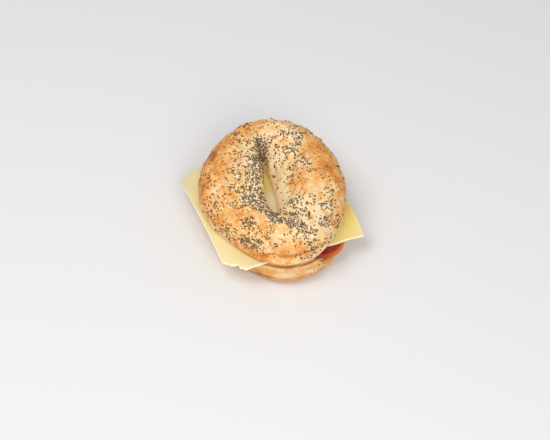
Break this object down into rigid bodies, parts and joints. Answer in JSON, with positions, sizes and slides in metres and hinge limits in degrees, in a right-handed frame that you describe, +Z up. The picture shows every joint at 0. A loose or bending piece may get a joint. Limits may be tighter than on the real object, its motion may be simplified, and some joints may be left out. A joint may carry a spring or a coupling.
{
  "type": "bagel sandwich",
  "caption": "Poppy seed bagel cut in two and filled with a square slice of cheese and a round slice of tomato, ready to eat.",
  "frame": {"origin": "middle of the sandwich's bounding box, on the surface that it rests on", "axes": "+Z up, -Y towards the side with the closed front lip, +X towards the side where the tomato shows"},
  "size_m": [0.1324, 0.1294, 0.0536],
  "materials": {
    "crust": "baked golden bagel crust with poppy seeds",
    "pale_crust": "paler baked crust and crumb of the bottom half",
    "cheese": "smooth pale yellow sliced cheese",
    "tomato": "wet red tomato flesh and skin",
    "poppy_seed": "dry grey-brown poppy seeds",
    "crumb": "pale open bread crumb of the cut faces"
  },
  "bodies": {
    "root": {"bagel_bottom": "pale_crust", "tomato_slice": "tomato", "cheese_slice": "cheese", "bagel_top": "crust"}
  },
  "joints": []
}
